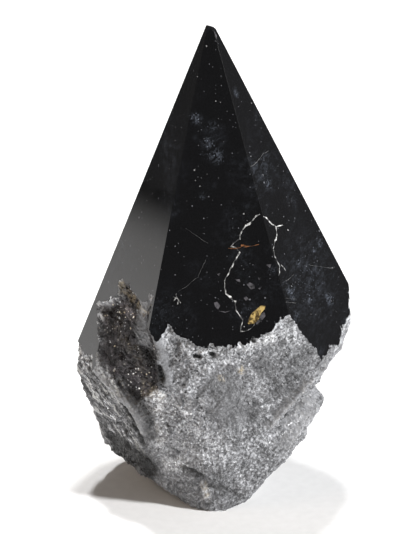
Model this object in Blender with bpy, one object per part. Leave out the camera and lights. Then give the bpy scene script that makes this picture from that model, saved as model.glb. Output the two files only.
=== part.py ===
"""A polished black tourmaline point.

The stone is one piece. Its lower half is the natural broken crystal: flat fracture faces,
a hollow, a neck and small lumps. Its upper half is ground flat on six sides to a point.
The model does what the grinder did: a rough lump is made first, and the six ground planes,
a chipped tip and a sawn foot are cut from it.

Millimetres are used throughout and turned into Blender's metres at the end. X is to the
right, Y is to the back, Z is up, and the origin is on the sawn foot. An azimuth is counted
from the front (-Y) towards the right (+X).
"""

import math
from typing import NamedTuple

import bmesh
import bpy
from mathutils import Matrix, Vector, noise

METRES_PER_MM = 0.001

# Driving dimensions
HEIGHT = 80.0
APEX = Vector((-0.35, 0.0, HEIGHT))
GIRDLE_HEIGHT = 30.0  # the second height at which a fracture face's reach is given
HEART = Vector((0.0, 0.0, 27.0))  # every surface point is seen straight from here


class Ridge(NamedTuple):
    """A ground edge that runs down from the apex."""

    azimuth: float  # degrees
    spread: float  # outward run for each unit of fall


class GroundFace(NamedTuple):
    """A ground plane between two neighbouring ridges."""

    name: str
    stands_out: float  # how far it misses the apex


class Fracture(NamedTuple):
    """A broken face of the rough half: its reach from the axis at the foot and at the girdle."""

    name: str
    azimuth: float
    foot_reach: float
    girdle_reach: float


class Lump(NamedTuple):
    """A rounded rise, or with a negative height a dent, along a short line."""

    name: str
    start: tuple
    end: tuple
    radius: float
    height: float


RIDGES = (
    Ridge(-90.0, 0.378),
    Ridge(-30.0, 0.405),
    Ridge(38.0, 0.457),
    Ridge(96.0, 0.477),
    Ridge(152.0, 0.420),
    Ridge(212.0, 0.400),
)
GROUND_FACES = (
    GroundFace("left", 0.0),
    GroundFace("front", 0.0),
    GroundFace("right", 0.50),
    GroundFace("back_right", 0.50),
    GroundFace("back", 0.0),
    GroundFace("back_left", 0.0),
)
CHIP_AZIMUTH = 60.0
CHIP_LEAN = 28.0  # the chipped tip's angle from level
CHIP_BELOW_APEX = 0.75

FRACTURES = (
    Fracture("front", 0.0, 12.5, 16.75),
    Fracture("front_slab", 12.0, 12.5, 17.2),
    Fracture("front_left", -25.0, 11.2, 17.1),
    Fracture("left_flank", -52.0, 10.7, 20.9),
    Fracture("left_foot", -61.0, 7.5, 44.5),
    Fracture("left_underside", -84.0, 9.2, 52.0),
    Fracture("left_slope", -89.0, 15.2, 25.9),
    Fracture("left_wall", -92.0, 21.1, 21.7),
    Fracture("right_corner", 52.0, 9.9, 32.0),
    Fracture("right_foot", 68.0, 8.7, 32.5),
    Fracture("right_lump", 66.0, 12.4, 22.7),
    Fracture("right_underside", 88.0, 8.5, 33.0),
    Fracture("right_slope", 92.0, 13.1, 23.8),
    Fracture("right_wall", 92.0, 22.2, 22.5),
    Fracture("slab_bevel", 72.0, 18.7, 21.7),
    Fracture("back_right", 138.0, 11.0, 20.2),
    Fracture("back_right_wall", 116.0, 16.0, 22.3),
    Fracture("back", 176.0, 10.4, 17.2),
    Fracture("back_underside", 190.0, 8.6, 31.0),
    Fracture("back_left", -150.0, 11.4, 18.6),
    Fracture("back_left_wall", -118.0, 14.8, 21.0),
)

# The neck under the right wall: a fracture that stops at a shelf. The shelf is highest
# in the middle and falls away to the front and to the back.
NECK = Fracture("neck", 69.0, 2.8, 25.2)
SHELF_HEIGHT = 15.1
SHELF_FALL_TO_BACK = 0.47
SHELF_FALL_TO_FRONT = 0.6
SHELF_FRONT_START = -8.0
SHELF_SOFTNESS = 1.2

# The hollow in the left ground face. Its outline is drawn on that face, across it and
# down it from the apex. Its floor is the lower of a shallow plane along the face and a
# steep plane that goes deep at the right. Beside the front ridge a gently sloping shell
# leads down to it.
HOLLOW_SHALLOW_DEPTH = 1.3
HOLLOW_FLOOR = Fracture("hollow_floor", -22.0, 13.4, 14.6)
HOLLOW_WALL_SLOPE = 1.6
HOLLOW_SHELL_SLOPE = 0.4
HOLLOW_SHELL_WIDTH = 2.0
HOLLOW_SHELL_START = 3.0
HOLLOW_SHELL_BLEND = 3.0
HOLLOW_OUTLINE = (
    (-7.1, 50.8),
    (-4.9, 49.8),
    (-2.9, 48.5),
    (-1.9, 47.0),
    (-2.5, 45.5),
    (-1.9, 44.5),
    (-0.3, 44.8),
    (1.8, 44.9),
    (3.4, 45.2),
    (5.0, 45.0),
    (6.6, 44.3),
    (7.1, 43.3),
    (8.2, 43.5),
    (8.9, 44.6),
    (9.6, 46.0),
    (10.7, 47.8),
    (11.8, 50.0),
    (12.8, 53.0),
    (13.9, 57.9),
    (13.3, 63.0),
    (10.3, 66.0),
    (6.3, 69.5),
    (1.7, 61.8),
    (-2.8, 58.7),
    (-3.0, 56.7),
    (-4.7, 54.8),
)

LUMPS = (
    Lump("spur_beside_hollow", (-9.2, -16.6, 33.0), (-7.4, -15.0, 25.0), 1.9, 1.9),
    Lump("left_peak", (-6.4, -16.0, 35.2), (-5.2, -16.4, 33.0), 1.4, -1.4),
    Lump("right_peak", (11.8, -15.6, 35.6), (11.4, -15.2, 33.0), 1.2, -0.3),
    Lump("front_scallop", (-2.0, -17.4, 31.0), (5.0, -17.4, 31.8), 2.0, 0.2),
    Lump("slab_edge", (16.6, -7.6, 21.5), (12.6, -10.2, 17.2), 1.3, 0.7),
    Lump("slab_groove", (16.2, -4.8, 18.6), (10.8, -10.4, 13.6), 1.1, -0.9),
    Lump("right_knob", (17.0, -1.0, 13.6), (16.4, 3.5, 13.0), 2.6, 0.6),
    Lump("front_belly", (2.0, -15.5, 19.0), (5.5, -14.5, 12.0), 5.0, 0.6),
    Lump("low_cleft", (-1.5, -12.8, 5.2), (3.8, -12.6, 2.6), 0.9, -0.8),
    Lump("low_chin", (-3.0, -12.0, 2.2), (2.0, -12.4, 1.4), 2.2, 0.9),
    Lump("left_rib", (-18.8, -5.6, 20.0), (-12.4, -6.8, 9.0), 1.2, 0.5),
    Lump("left_furrow", (-17.4, -5.8, 16.0), (-13.2, -5.6, 7.5), 1.0, -0.5),
    Lump("back_scar", (4.0, 17.0, 24.0), (-3.5, 15.2, 18.0), 3.6, -1.6),
    Lump("back_knob", (-11.5, 12.5, 17.0), (-9.0, 12.5, 12.0), 3.2, 1.2),
    Lump("back_right_ledge", (14.0, 11.6, 22.0), (9.0, 13.2, 12.0), 1.6, -1.0),
)

# The grain of the break: swells, and sharp crests on top of them
SWELL_SIZE = 6.5
SWELL_HEIGHT = 0.6
SWELL_OCTAVES = 3
SWELL_FALL_OFF = 1.0
SWELL_LACUNARITY = 2.0
CREST_SIZE = 1.9
CREST_HEIGHT = 0.34

UNGROUND_ALLOWANCE = 1.15  # how far the lump passes the ground planes, as a share
LUMP_DETAIL = 7  # icosphere subdivisions
LUMP_KEPT_SHARE = 0.2  # faces kept where the lump is thinned out on its flatter stretches
BLOCK_SIDE = 400.0
FAR = 200.0
PARALLEL = 1e-6
SAME_POINT = 1e-5

STONE_COLOUR = (0.035, 0.036, 0.040, 1.0)
STONE_ROUGHNESS = 0.45


def outward(azimuth):
    """The level direction at an azimuth."""
    angle = math.radians(azimuth)
    return Vector((math.sin(angle), -math.cos(angle), 0.0))


def ridge_direction(ridge):
    """The way down a ground edge from the apex."""
    return outward(ridge.azimuth) * ridge.spread - Vector((0.0, 0.0, 1.0))


def ground_planes():
    """Each ground face as an outward normal and the plane's distance from the origin."""
    planes = []
    for index, face in enumerate(GROUND_FACES):
        first = ridge_direction(RIDGES[index])
        second = ridge_direction(RIDGES[(index + 1) % len(RIDGES)])
        normal = first.cross(second).normalized()
        planes.append((normal, normal.dot(APEX) + face.stands_out))
    return planes


def chip_plane():
    """The small broken plane at the tip."""
    lean = math.radians(CHIP_LEAN)
    normal = outward(CHIP_AZIMUTH) * math.sin(lean) + Vector((0.0, 0.0, math.cos(lean)))
    return normal, normal.dot(APEX) - CHIP_BELOW_APEX


def fracture_plane(face):
    """A fracture as an outward normal and the plane's distance from the origin."""
    flare = (face.girdle_reach - face.foot_reach) / GIRDLE_HEIGHT
    normal = outward(face.azimuth) - Vector((0.0, 0.0, flare))
    return normal.normalized(), face.foot_reach / normal.length


def distance_to_plane(direction, plane):
    """How far the plane is from the heart of the stone in one direction."""
    normal, offset = plane
    closing = normal.dot(direction)
    if closing < PARALLEL:
        return math.inf
    return (offset - normal.dot(HEART)) / closing


def distance_to_line(point, start, end):
    """The distance of a point from a short line."""
    start, end = Vector(start), Vector(end)
    along = end - start
    share = max(0.0, min(1.0, (point - start).dot(along) / along.length_squared))
    return (point - start - along * share).length


def depth_in_outline(across, down, outline):
    """How far a point on a flat lies inside an outline, negative where it is outside."""
    nearest = math.inf
    inside = False
    for index, (x0, y0) in enumerate(outline):
        x1, y1 = outline[(index + 1) % len(outline)]
        here, start, end = Vector((across, down, 0)), (x0, y0, 0), (x1, y1, 0)
        nearest = min(nearest, distance_to_line(here, start, end))
        if (y0 > down) != (y1 > down):
            if across < x0 + (down - y0) * (x1 - x0) / (y1 - y0):
                inside = not inside
    return nearest if inside else -nearest


def smooth_step(value):
    """A soft change from 0 to 1."""
    share = max(0.0, min(1.0, value))
    return share * share * (3.0 - 2.0 * share)


def shelf_height(y):
    """How high the shelf under the neck lies at one depth of the stone."""
    to_back = max(0.0, y) * SHELF_FALL_TO_BACK
    to_front = max(0.0, SHELF_FRONT_START - y) * SHELF_FALL_TO_FRONT
    return SHELF_HEIGHT - to_back - to_front


def carve_neck(direction, reach, plane):
    """Takes the neck's undercut out of the stone above its shelf."""
    point = HEART + direction * reach
    above = smooth_step((point.z - shelf_height(point.y)) / SHELF_SOFTNESS + 0.5)
    cut = reach - distance_to_plane(direction, plane)
    return reach - max(0.0, cut) * above


def hollow_depth(across, inside):
    """How deep the hollow may go, by how far a spot lies across the face and in the outline."""
    steep = inside * HOLLOW_WALL_SLOPE
    past_shell = max(0.0, inside - HOLLOW_SHELL_WIDTH)
    gentle = min(inside, HOLLOW_SHELL_WIDTH) * HOLLOW_SHELL_SLOPE + past_shell * HOLLOW_WALL_SLOPE
    on_shell = smooth_step((across - HOLLOW_SHELL_START) / HOLLOW_SHELL_BLEND)
    return steep + (gentle - steep) * on_shell


def carve_hollow(direction, reach, face, floors):
    """Takes the hollow out of the left ground face, down to its floor."""
    normal = face[0]
    across = Vector((-normal.y, normal.x, 0.0)).normalized()
    down = normal.cross(across)
    down *= -math.copysign(1.0, down.z)
    offset = HEART + direction * min(distance_to_plane(direction, face), FAR) - APEX
    inside = depth_in_outline(offset.dot(across), offset.dot(down), HOLLOW_OUTLINE)
    if inside <= 0.0:
        return reach
    floor = min(distance_to_plane(direction, plane) for plane in floors)
    return reach - min(max(0.0, reach - floor), hollow_depth(offset.dot(across), inside))


def lump_rise(point):
    """The sum of the named lumps and dents at a point."""
    rise = 0.0
    for lump in LUMPS:
        away = distance_to_line(point, lump.start, lump.end) / lump.radius
        rise += lump.height * math.exp(-away * away)
    return rise


def grain_rise(point):
    """The uneven surface that the break left."""
    swell = noise.fractal(
        point / SWELL_SIZE, SWELL_FALL_OFF, SWELL_LACUNARITY, SWELL_OCTAVES
    )
    crest = 0.5 - abs(noise.noise(point / CREST_SIZE))
    return swell * SWELL_HEIGHT + (crest - 0.25) * CREST_HEIGHT


def rough_lump_mesh():
    """The stone before grinding, as a closed mesh around its heart."""
    ground = ground_planes()
    fractures = [fracture_plane(face) for face in FRACTURES]
    neck = fracture_plane(NECK)
    left_normal, left_offset = ground[0]
    shallow_floor = (left_normal, left_offset - HOLLOW_SHALLOW_DEPTH)
    hollow_floors = (shallow_floor, fracture_plane(HOLLOW_FLOOR))

    shape = bmesh.new()
    bmesh.ops.create_icosphere(shape, subdivisions=LUMP_DETAIL, radius=1.0)
    for vertex in shape.verts:
        direction = vertex.co.normalized()
        broken = min(distance_to_plane(direction, plane) for plane in fractures)
        polished = min(distance_to_plane(direction, plane) for plane in ground)
        broken = carve_neck(direction, broken, neck)
        reach = min(broken, polished)
        carved = carve_hollow(direction, reach, ground[0], hollow_floors)
        if carved == reach:
            reach = min(broken, polished * UNGROUND_ALLOWANCE)
        else:
            reach = carved
        point = HEART + direction * reach
        vertex.co = point + direction * (lump_rise(point) + grain_rise(point))
    return shape


def ground_form_mesh():
    """A convex block that holds all the stone keeps: inside the ground planes, above the saw cut."""
    shape = bmesh.new()
    bmesh.ops.create_cube(shape, size=BLOCK_SIDE)
    cuts = [*ground_planes(), chip_plane(), (Vector((0.0, 0.0, -1.0)), 0.0)]
    for normal, offset in cuts:
        cut = bmesh.ops.bisect_plane(
            shape,
            geom=[*shape.verts, *shape.edges, *shape.faces],
            dist=SAME_POINT,
            plane_co=normal * offset,
            plane_no=normal,
            clear_outer=True,
        )
        rim = [item for item in cut["geom_cut"] if isinstance(item, bmesh.types.BMEdge)]
        bmesh.ops.contextual_create(shape, geom=rim)
    bmesh.ops.recalc_face_normals(shape, faces=shape.faces)
    return shape


def add_object(name, shape):
    """Puts a shape made in millimetres into the scene, in metres."""
    bmesh.ops.transform(shape, matrix=Matrix.Scale(METRES_PER_MM, 4), verts=shape.verts)
    mesh = bpy.data.meshes.new(name)
    shape.to_mesh(mesh)
    shape.free()
    made = bpy.data.objects.new(name, mesh)
    bpy.context.scene.collection.objects.link(made)
    return made


def stone_material():
    """Black tourmaline, greyish where it is broken."""
    material = bpy.data.materials.new("black_tourmaline")
    material.use_nodes = True
    shader = material.node_tree.nodes["Principled BSDF"]
    shader.inputs["Base Color"].default_value = STONE_COLOUR
    shader.inputs["Roughness"].default_value = STONE_ROUGHNESS
    shader.inputs["Metallic"].default_value = 0.0
    return material


def main():
    for leftover in list(bpy.data.objects):
        bpy.data.objects.remove(leftover)

    ground_form = add_object("ground_form", ground_form_mesh())
    ground_form.hide_render = True
    ground_form.display_type = "WIRE"

    stone = add_object("tourmaline_point", rough_lump_mesh())
    stone.data.materials.append(stone_material())
    thinning = stone.modifiers.new("thinning", "DECIMATE")
    thinning.ratio = LUMP_KEPT_SHARE
    grinding = stone.modifiers.new("grinding", "BOOLEAN")
    grinding.operation = "INTERSECT"
    grinding.solver = "EXACT"
    grinding.object = ground_form


main()
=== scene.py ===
"""The visual model of a polished black tourmaline point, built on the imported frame.

The stone is made the way the real one was. A rough lump that follows the frame is given the
grain of broken tourmaline. Then the frame's flat faces grind it: each one cuts the lump and
leaves a sharp, ragged border between polish and break. Veins and flecks are inlaid in the
ground faces as shapes of their own.

The stone is made in millimetres and turned into Blender's metres at the end. The settings,
the stage and the positions in the materials are in metres. X is to the right, Y is to the
back and Z is up. An azimuth is counted from the front towards the right, in degrees.
"""

import math
import random
from types import SimpleNamespace
from typing import NamedTuple

import bmesh
import bpy
from mathutils import Matrix, Vector, noise
from mathutils.bvhtree import BVHTree
from mathutils.geometry import delaunay_2d_cdt
from mathutils.kdtree import KDTree


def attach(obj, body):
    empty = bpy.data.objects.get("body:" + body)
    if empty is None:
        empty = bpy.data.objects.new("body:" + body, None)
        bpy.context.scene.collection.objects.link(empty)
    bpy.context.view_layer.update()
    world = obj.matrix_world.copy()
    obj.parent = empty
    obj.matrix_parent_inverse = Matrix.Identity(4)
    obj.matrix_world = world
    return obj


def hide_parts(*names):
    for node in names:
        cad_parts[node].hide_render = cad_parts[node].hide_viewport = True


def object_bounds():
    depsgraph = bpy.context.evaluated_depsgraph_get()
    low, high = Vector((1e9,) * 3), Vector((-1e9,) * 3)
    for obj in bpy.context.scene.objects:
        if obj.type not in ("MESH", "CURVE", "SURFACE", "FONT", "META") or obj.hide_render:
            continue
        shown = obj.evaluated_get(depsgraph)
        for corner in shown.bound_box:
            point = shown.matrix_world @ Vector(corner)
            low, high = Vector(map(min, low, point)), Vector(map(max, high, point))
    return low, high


bl_info = {
    "name": "Tourmaline Point",
    "version": (1, 0, 0),
    "blender": (4, 5, 0),
    "location": "View3D > Sidebar > Tourmaline",
    "description": "Builds a polished black tourmaline point and its stage",
    "category": "Object",
}

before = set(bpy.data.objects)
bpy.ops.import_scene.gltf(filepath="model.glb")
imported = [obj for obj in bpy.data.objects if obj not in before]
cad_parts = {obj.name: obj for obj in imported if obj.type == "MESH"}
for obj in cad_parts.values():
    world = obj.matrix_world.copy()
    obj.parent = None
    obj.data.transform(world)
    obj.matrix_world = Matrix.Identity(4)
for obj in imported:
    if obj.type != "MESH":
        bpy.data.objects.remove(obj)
CAD_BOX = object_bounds()
CAD_NODE = "tourmaline_point"

MM_PER_METRE = 1000.0
HEART = Vector((0.0, 0.0, 27.0))  # the lump is sampled along straight lines from here
POINT_HEIGHT = 80.0  # the height of the ground point before it was chipped
FAR_OUT = 400.0
SAME_POINT = 1e-5
ON_PLANE = 0.012
NO_LENGTH = 1e-9

# How the frame's flat faces are told from its broken ones
FLAT_TRIANGLE = 3.0  # square millimetres
FLAT_FACE = 20.0
SAME_DIRECTION = 0.99999
SAME_OFFSET = 0.02
FOOT_FACES_DOWN = -0.9
GROUND_SIDES = 6
TIP_DEPTH = 0.35
TIP_FACES_UP = 0.8

# The marks that tell the cut faces apart; 0 is the break and 1 to 6 are the ground sides
BREAK_MARK = 0
FOOT_MARK = 20
TIP_MARK = 21
FIRST_RIDGE_MARK = 30

LUMP_DETAIL = 7  # subdivisions of the net of directions
QUICK_LUMP_DETAIL = 6
FINE_REACH = 2.5  # how far past the border the net is still fine
FINE_FRONT = 6.0  # the net is fine in front of this depth

# The grain of the break
CELL_SCATTER = 97.0  # spreads neighbouring cells apart, so that each leans its own way
SMALL_GRAIN_SHIFT = Vector((31.0, 7.0, 5.0))  # keeps the small grains apart from the facets
PIT_LEVEL = 0.25  # the noise that starts a pit
CALM_SHARE = 0.65  # how much of the grain a calm zone loses

# The fading of a zone's border
ZONE_FADE = 1.6  # a zone has faded out at this many times its reach
ZONE_STEEPNESS = 1.4
ZONE_UNEVEN = 0.4  # how much its border wanders
ZONE_UNEVEN_SIZE = 1.3
ZONE_MARGIN = 1.5  # the search round a zone goes this much further

# Veins, cracks and specks
RANDOM_SEED = 11
RIBBON_STEP = 0.45  # the length of a vein's pieces, in millimetres
RIBBON_SHARES = (0.2, 1.6)  # the narrowest and the widest piece of a vein, as shares of its width
JAGGED = 2.2  # how much more than its stray a vein zigzags
VEIN_SHARE = 0.66  # the painted width of a line compared with how wide it looks
SPECK_CORNERS = 5
SPECK_SHARES = (0.7, 1.3)

# The hollow in the left ground face
HOLLOW_FACING = 0.2  # a direction that meets the face more flatly than this misses the hollow
HOLLOW_BORDER = 0.9  # the width over which the hollow's lining fades
HOLLOW_SPREAD = 0.35  # how much lining there is on the outline itself
HOLLOW_LIMITS = Vector((-4.0, 4.0, 42.0))  # the hollow lies below these three coordinates

BORDER_REACH = 5.0  # how far the crushed grain goes from the polish
FRONT_STREAKS = (-4.6, 1.0, -5.8)  # the direction of the streaks on the front of the break
FLANK_STREAKS = (5.8, -3.2, -8.4)  # and on its left flank
FLANK_START = -12.5  # the left flank is beyond this X
FLANK_END = -9.0

# Nets of dots: the size of a cell, a dot's radius as a share of it, and how many cells have one
BREAK_DOTS = ((0.50, 0.42, 0.20), (0.85, 0.30, 0.25))
HOLLOW_DOTS = ((0.42, 0.45, 0.30), (0.80, 0.32, 0.26))
VEIL_DOTS = (0.36, 0.34, 0.30)
POLISH_DOTS = ((0.9, 0.14, 0.16), (2.2, 0.09, 0.25), (0.45, 0.18, 0.12))

VEIL_FADE = 1.5  # a veil has faded out at this many times its reach
VEIL_DRIFT = (0.3, 1.0, 0.0)  # the direction in which the wisps of a veil are drawn out
POLISH_SHINE = 0.42  # 0.5 would be a perfect polish
BREAK_SHINE = 0.30
DARKEST_SHARE = 0.06  # no colour is made darker than this share of itself

SENSOR_WIDTH = 36.0  # millimetres, as Blender counts it
LAMP_AIM = Vector((0.0, 0.0, 0.03))  # the lamps look at this point, in metres


class Plane(NamedTuple):
    """A flat face: its outward normal and its distance from the origin."""

    normal: Vector
    offset: float


class Line(NamedTuple):
    """A vein or crack in a ground face.

    Each point is across the face, down it and how wide the line is there.
    """

    azimuth: float  # which way the ground face looks
    stray: float  # how far it wanders to the side
    slot: str
    points: tuple


class Patch(NamedTuple):
    """A coloured spot in a ground face, drawn as an outline."""

    azimuth: float
    slot: str
    outline: tuple


class Speck(NamedTuple):
    """A tiny pale grain in a ground face."""

    azimuth: float
    across: float
    down: float
    width: float


class Zone(NamedTuple):
    """A stretch of the break that differs from the rest, along a path on the stone."""

    name: str
    reach: float
    tone: float  # above 0 is paler, below 0 is darker
    calm: float  # 1 is smooth and even
    ochre: float  # 1 is stained yellow
    rise: float  # how far it stands out, and below 0 how deep it is
    path: tuple


# The azimuths of the three ground faces that the picture shows
FRONT_FACE = 4.0
RIGHT_FACE = 67.0
LEFT_FACE = -60.0

LINES = (
    Line(FRONT_FACE, 0.04, "vein", (
        (8.05, 30.20, 0.16), (7.41, 30.53, 0.26), (6.94, 31.18, 0.16), (6.46, 31.83, 0.34),
        (5.82, 31.99, 0.36), (5.34, 32.80, 0.40), (5.03, 33.61, 0.18), (4.87, 34.25, 0.20),
    )),
    Line(FRONT_FACE, 0.03, "vein", (
        (4.87, 34.25, 0.18), (4.23, 34.58, 0.17), (3.44, 35.39, 0.13), (4.24, 35.55, 0.15),
        (4.88, 36.19, 0.26),
    )),
    Line(FRONT_FACE, 0.05, "vein", (
        (4.88, 36.19, 0.36), (4.41, 36.99, 0.23), (4.09, 37.80, 0.25), (3.46, 38.93, 0.20),
        (2.98, 39.90, 0.18), (2.51, 40.87, 0.28), (2.52, 41.84, 0.25), (2.84, 42.80, 0.31),
        (3.49, 43.44, 0.44), (4.29, 44.08, 0.36), (4.30, 45.05, 0.15), (4.79, 46.17, 0.25),
        (5.43, 46.97, 0.15), (5.44, 47.29, 0.13), (5.12, 47.94, 0.31), (5.12, 48.58, 0.31),
    )),
    Line(FRONT_FACE, 0.03, "vein", (
        (5.13, 48.74, 0.28), (6.09, 48.73, 0.13), (6.89, 48.24, 0.12), (7.36, 47.60, 0.07),
    )),
    Line(FRONT_FACE, 0.02, "vein", ((-5.49, 43.35, 0.10), (-4.85, 43.67, 0.20), (-4.30, 44.41, 0.10))),
    Line(FRONT_FACE, 0.02, "vein", ((-5.10, 42.90, 0.08), (-5.01, 43.51, 0.12), (-5.40, 44.00, 0.08))),
    Line(FRONT_FACE, 0.02, "vein", ((-4.69, 43.83, 0.08), (-4.78, 44.58, 0.15))),
    Line(RIGHT_FACE, 0.05, "vein", (
        (-6.69, 30.49, 0.16), (-5.92, 30.99, 0.26), (-5.09, 31.88, 0.35), (-4.36, 32.90, 0.38),
        (-3.34, 34.04, 0.29), (-3.60, 34.82, 0.21), (-4.15, 35.47, 0.35), (-5.40, 36.00, 0.22),
        (-6.35, 36.66, 0.32), (-6.72, 37.56, 0.24), (-6.51, 38.72, 0.24), (-6.48, 39.62, 0.23),
        (-7.03, 40.27, 0.18), (-7.87, 40.79, 0.19), (-8.71, 41.32, 0.12),
    )),
    Line(RIGHT_FACE, 0.02, "vein", ((-3.34, 34.04, 0.22), (-2.07, 34.41, 0.20), (-1.08, 34.66, 0.08))),
    Line(RIGHT_FACE, 0.02, "vein", ((-5.96, 39.48, 0.08), (-5.42, 40.24, 0.13), (-5.17, 40.88, 0.30))),
    Line(RIGHT_FACE, 0.03, "crack", (
        (-4.13, 23.25, 0.13), (-2.74, 23.49, 0.15), (-1.03, 23.34, 0.13), (0.80, 23.06, 0.15),
        (2.59, 23.29, 0.10),
    )),
    Line(RIGHT_FACE, 0.02, "crack", ((-9.46, 44.54, 0.10), (-8.00, 45.17, 0.13), (-5.78, 46.29, 0.10))),
    Line(RIGHT_FACE, 0.02, "crack", ((-8.73, 44.15, 0.06), (-5.04, 45.90, 0.08))),
    Line(RIGHT_FACE, 0.02, "crack", (
        (1.91, 42.85, 0.05), (5.78, 44.85, 0.06), (8.00, 45.98, 0.11), (9.28, 46.35, 0.10),
    )),
    Line(RIGHT_FACE, 0.02, "crack", ((-7.36, 42.07, 0.06), (-5.58, 42.30, 0.08), (-3.27, 42.40, 0.08))),
    Line(FRONT_FACE, 0.03, "crack", (
        (-0.40, 37.52, 0.06), (-1.66, 40.26, 0.08), (-3.26, 41.57, 0.08), (-4.69, 42.54, 0.06),
    )),
    Line(FRONT_FACE, 0.02, "crack", ((-3.64, 32.55, 0.05), (-0.09, 34.94, 0.05))),
    Line(FRONT_FACE, 0.02, "glow", ((3.12, 35.62, 0.08), (4.24, 35.70, 0.12), (5.10, 35.50, 0.16))),
    Line(FRONT_FACE, 0.02, "glow", (
        (5.10, 35.22, 0.60), (5.52, 35.21, 0.46), (6.16, 35.37, 0.28), (7.12, 35.20, 0.18),
        (7.92, 35.03, 0.10),
    )),
)

PATCHES = (
    Patch(FRONT_FACE, "speck", ((-0.05, 0.10), (0.50, 0.30), (0.50, 1.50), (0.25, 1.10), (0.20, 0.60))),
    Patch(RIGHT_FACE, "fleck", (
        (-0.90, 1.60), (-0.40, 1.30), (0.10, 2.40), (-0.20, 3.00), (-0.70, 2.50),
    )),
    Patch(FRONT_FACE, "gold", (
        (6.28, 47.62), (6.42, 46.75), (6.88, 45.87), (7.55, 45.32), (8.25, 44.72), (9.02, 44.62),
        (8.90, 45.22), (8.32, 45.90), (8.02, 46.72), (7.30, 47.52),
    )),
    Patch(FRONT_FACE, "fleck", (
        (7.48, 47.46), (8.06, 46.72), (8.36, 45.94), (8.85, 45.72), (9.05, 46.30), (8.60, 46.88),
        (7.60, 47.74),
    )),
    Patch(FRONT_FACE, "fleck", (
        (6.04, 41.33), (6.52, 41.00), (7.16, 41.32), (7.33, 41.96), (6.69, 42.13),
    )),
    Patch(FRONT_FACE, "fleck", ((4.11, 40.54), (4.91, 40.53), (5.08, 41.01), (4.59, 40.86))),
    Patch(FRONT_FACE, "fleck", ((5.57, 43.42), (6.05, 43.26), (6.38, 43.74), (5.90, 43.91))),
    Patch(FRONT_FACE, "fleck", (
        (0.93, 44.27), (1.41, 44.10), (1.89, 44.74), (1.58, 45.39), (1.09, 44.91),
    )),
    Patch(FRONT_FACE, "fleck", ((1.38, 39.76), (1.86, 39.59), (1.70, 40.08))),
    Patch(FRONT_FACE, "fleck", ((1.58, 45.55), (2.70, 45.86), (3.50, 45.54), (2.70, 45.66))),
    Patch(FRONT_FACE, "fleck", ((9.07, 38.24), (9.87, 38.08), (9.71, 38.72))),
    Patch(FRONT_FACE, "fleck", ((7.80, 40.19), (8.28, 40.34), (7.96, 40.67))),
    Patch(FRONT_FACE, "fleck", ((7.81, 41.96), (8.29, 41.79), (8.13, 42.12))),
)

SPECKS = (
    Speck(FRONT_FACE, -0.5, 3.9, 0.29),
    Speck(FRONT_FACE, -1.9, 8.7, 0.13),
    Speck(FRONT_FACE, 1.0, 12.5, 0.18),
    Speck(FRONT_FACE, 1.7, 12.7, 0.14),
    Speck(FRONT_FACE, -4.4, 21.0, 0.16),
    Speck(FRONT_FACE, -2.3, 23.4, 0.26),
    Speck(FRONT_FACE, -0.3, 24.0, 0.11),
    Speck(FRONT_FACE, -2.1, 25.0, 0.14),
    Speck(FRONT_FACE, -5.3, 25.6, 0.14),
    Speck(FRONT_FACE, -1.4, 25.9, 0.18),
    Speck(FRONT_FACE, 5.5, 30.2, 0.22),
    Speck(FRONT_FACE, 5.7, 48.0, 0.19),
    Speck(RIGHT_FACE, -1.7, 6.4, 0.19),
    Speck(RIGHT_FACE, -2.6, 10.2, 0.18),
    Speck(RIGHT_FACE, 2.8, 15.1, 0.22),
    Speck(RIGHT_FACE, -3.8, 16.3, 0.16),
    Speck(RIGHT_FACE, -3.7, 17.6, 0.19),
    Speck(RIGHT_FACE, -3.0, 22.0, 0.16),
    Speck(RIGHT_FACE, -4.9, 23.6, 0.19),
    Speck(RIGHT_FACE, -1.5, 25.8, 0.16),
    Speck(RIGHT_FACE, -6.4, 29.2, 0.26),
    Speck(RIGHT_FACE, -7.6, 34.4, 0.19),
    Speck(RIGHT_FACE, -0.2, 35.9, 0.29),
    Speck(RIGHT_FACE, -9.0, 40.7, 0.16),
    Speck(RIGHT_FACE, -9.1, 43.6, 0.22),
    Speck(RIGHT_FACE, -5.1, 43.6, 0.16),
    Speck(RIGHT_FACE, 8.6, 46.2, 0.22),
    Speck(RIGHT_FACE, -2.6, 49.6, 0.16),
    Speck(RIGHT_FACE, -1.2, 50.2, 0.13),
    Speck(LEFT_FACE, 0.7, 34.3, 0.10),
    Speck(LEFT_FACE, 5.0, 36.4, 0.10),
    Speck(LEFT_FACE, -2.7, 37.7, 0.11),
    Speck(LEFT_FACE, 2.4, 39.7, 0.13),
    Speck(LEFT_FACE, -6.8, 40.9, 0.10),
)

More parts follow.
